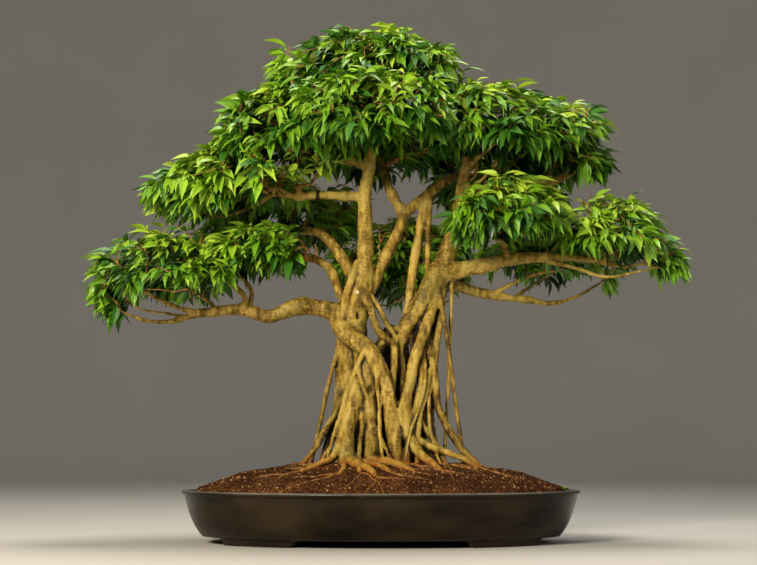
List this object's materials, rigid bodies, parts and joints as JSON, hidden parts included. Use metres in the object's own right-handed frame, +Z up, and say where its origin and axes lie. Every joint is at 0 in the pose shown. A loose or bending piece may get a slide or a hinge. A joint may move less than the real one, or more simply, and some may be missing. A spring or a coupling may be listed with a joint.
{
  "type": "fig bonsai in a pot",
  "caption": "Banyan-style weeping fig bonsai with fused strap roots and leafy pads, in a shallow dark oval stoneware pot.",
  "frame": {"origin": "under the middle of the pot, on the surface that its feet stand on", "axes": "+Z up, +X to the right along the pot's long axis as seen from the front, +Y away from the viewer"},
  "size_m": [1.0563, 0.567, 0.8959],
  "materials": {
    "stoneware": "satin, very dark brown",
    "soil": "moist red-brown grit",
    "bark": "smooth pale tan bark",
    "foliage": "glossy green leaves"
  },
  "bodies": {
    "root": {"pot": "stoneware", "soil": "soil", "trunk": "bark", "leader": "bark", "second_stem": "bark", "cross_bough": "bark", "right_riser": "bark", "lower_right_bough": "bark", "right_outer_bough": "bark", "small_riser": "bark", "under_bough": "bark", "lower_left_bough": "bark", "left_rear_bough": "bark", "back_left_bough": "bark", "mid_left_bough": "bark", "upper_left_bough": "bark", "front_bough": "bark", "back_centre_bough": "bark", "left_hanging_root": "bark", "right_hanging_root": "bark", "thin_hanging_root": "bark", "prop_root": "bark", "thin_prop_root": "bark", "apex_leaves": "foliage", "upper_left_leaves": "foliage", "upper_front_leaves": "foliage", "mid_left_leaves": "foliage", "lower_left_leaves": "foliage", "left_inner_leaves": "foliage", "back_left_leaves": "foliage", "upper_right_leaves": "foliage", "right_outer_leaves": "foliage", "right_inner_leaves": "foliage", "lower_right_leaves": "foliage", "under_right_leaves": "foliage", "back_right_leaves": "foliage", "back_top_leaves": "foliage", "back_centre_leaves": "foliage"}
  },
  "joints": []
}
